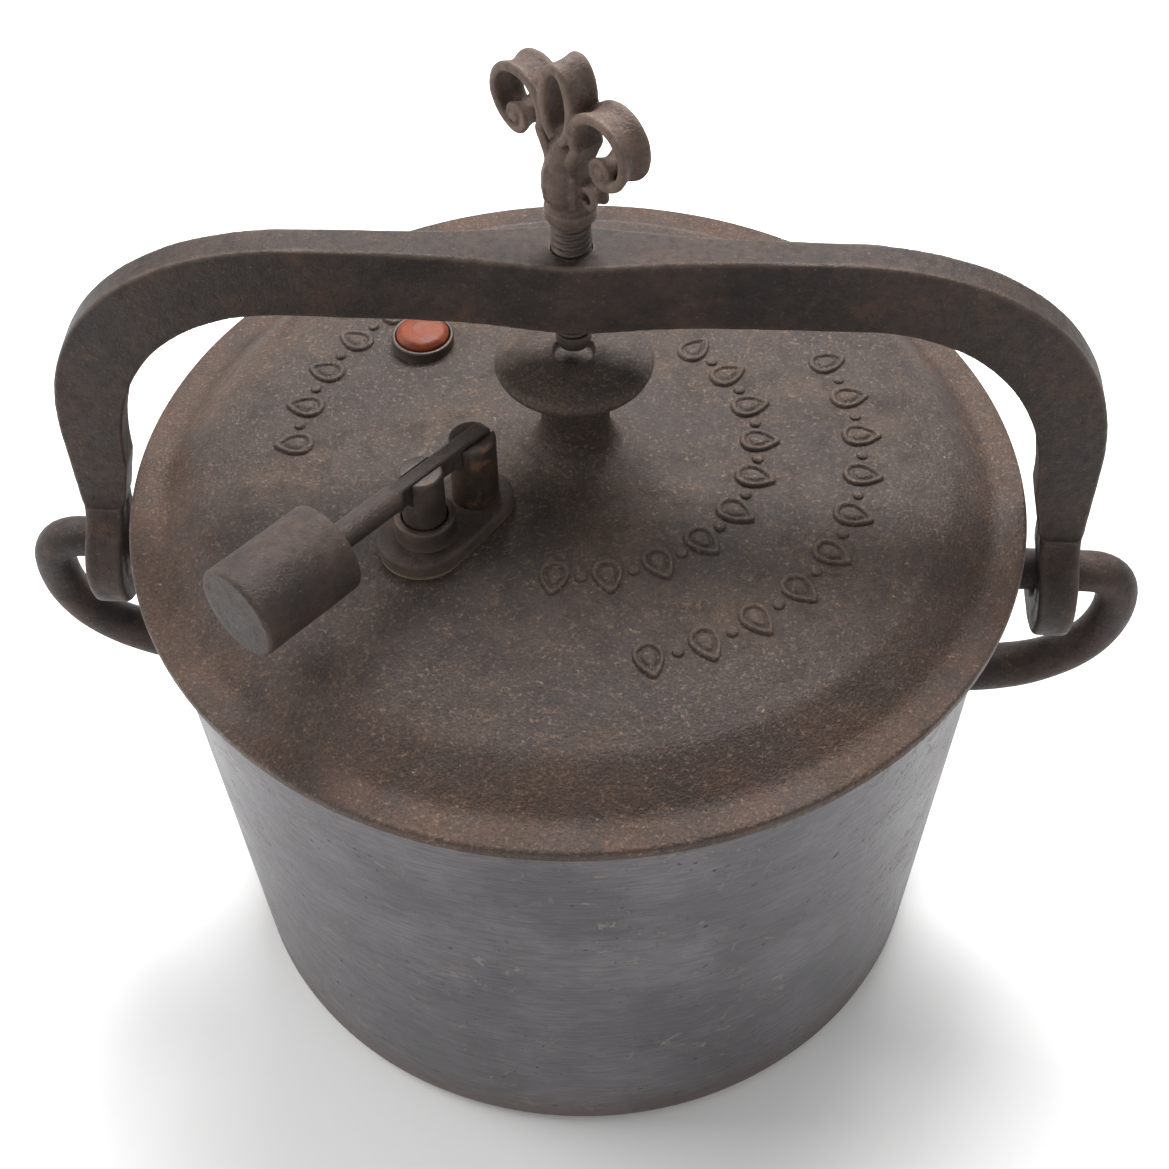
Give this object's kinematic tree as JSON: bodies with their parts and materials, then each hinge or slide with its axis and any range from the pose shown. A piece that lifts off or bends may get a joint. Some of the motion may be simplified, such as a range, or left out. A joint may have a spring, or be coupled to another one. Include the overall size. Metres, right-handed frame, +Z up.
{
  "type": "pressure canner",
  "caption": "Cast-iron pressure canner with a flanged lid, a forged yoke that hooks under two ears, a clamp screw with a scroll handle, a weighted lever valve and a relief plug.",
  "frame": {"origin": "centre of the pot's flat base, on the surface it stands on", "axes": "+Z up through the clamp screw, +X along the yoke from the left ear to the right ear, -Y towards the side that the yoke slides off to"},
  "size_m": [0.3918, 0.3, 0.37],
  "materials": {
    "pot_iron": "grey cast iron, satin, pitted and stained",
    "lid_iron": "warm brown-black cast iron with a sandy casting grain",
    "forged_iron": "forged wrought iron, brown-black, worn lighter on its edges",
    "steel": "old machined steel, browned",
    "rusty_steel": "machined steel with a rusted top",
    "packing": "compressed fibre packing",
    "plug_rubber": "red-brown hard rubber, polished"
  },
  "bodies": {
    "pot": {"pot_body": "pot_iron", "ear_left": "forged_iron", "ear_right": "forged_iron"},
    "lid": {"lid_casting": "lid_iron", "sealing_ring": "packing", "pressing_knob": "lid_iron", "knob_washer": "steel", "valve_plate": "forged_iron", "plate_gasket": "packing", "valve_seat": "steel", "seat_nut": "steel", "fulcrum_post": "rusty_steel", "post_nut": "steel", "fulcrum_pin": "steel", "relief_seat": "steel", "relief_nut": "steel"},
    "lever": {"lever_arm": "forged_iron", "lever_weight": "forged_iron", "weight_pin": "steel"},
    "plunger": {"valve_plunger": "steel"},
    "plug": {"relief_plug": "plug_rubber"},
    "yoke": {"yoke_bar": "forged_iron"},
    "nose": {"screw_nose": "steel"},
    "screw": {"clamp_screw": "steel", "scroll_handle": "forged_iron", "handle_pin": "steel"}
  },
  "joints": [
    {"name": "yoke_slide", "type": "slide", "parent": "pot", "child": "yoke", "axis": [0, -1, 0], "range_m": [0, 0.24]},
    {"name": "lid_lift", "type": "slide", "parent": "pot", "child": "lid", "axis": [0, 0, 1], "range_m": [0, 0.0195]},
    {"name": "screw_travel", "type": "slide", "parent": "yoke", "child": "nose", "axis": [0, 0, 1], "range_m": [0, 0.01]},
    {"name": "screw_turn", "type": "hinge", "parent": "nose", "child": "screw", "pos_m": [0, 0, 0.316], "axis": [0, 0, 1], "range_deg": [0, 1442]},
    {"name": "lever_swing", "type": "hinge", "parent": "lid", "child": "lever", "pos_m": [-0.03, -0.0303, 0.2505], "axis": [-0.7716, 0.6361, 0], "range_deg": [0, 8]},
    {"name": "plunger_lift", "type": "slide", "parent": "lid", "child": "plunger", "axis": [0, 0, 1], "range_m": [0, 0.0032]},
    {"name": "plug_lift", "type": "slide", "parent": "lid", "child": "plug", "axis": [0, 0, 1], "range_m": [0, 0.015]}
  ],
  "couplings": [
    {"joint": "lid_lift", "follows": "yoke_slide", "ratio": 0.08},
    {"joint": "screw_turn", "follows": "screw_travel", "rad_per_m": 2513.3},
    {"joint": "plunger_lift", "follows": "lever_swing", "m_per_rad": 0.022}
  ]
}
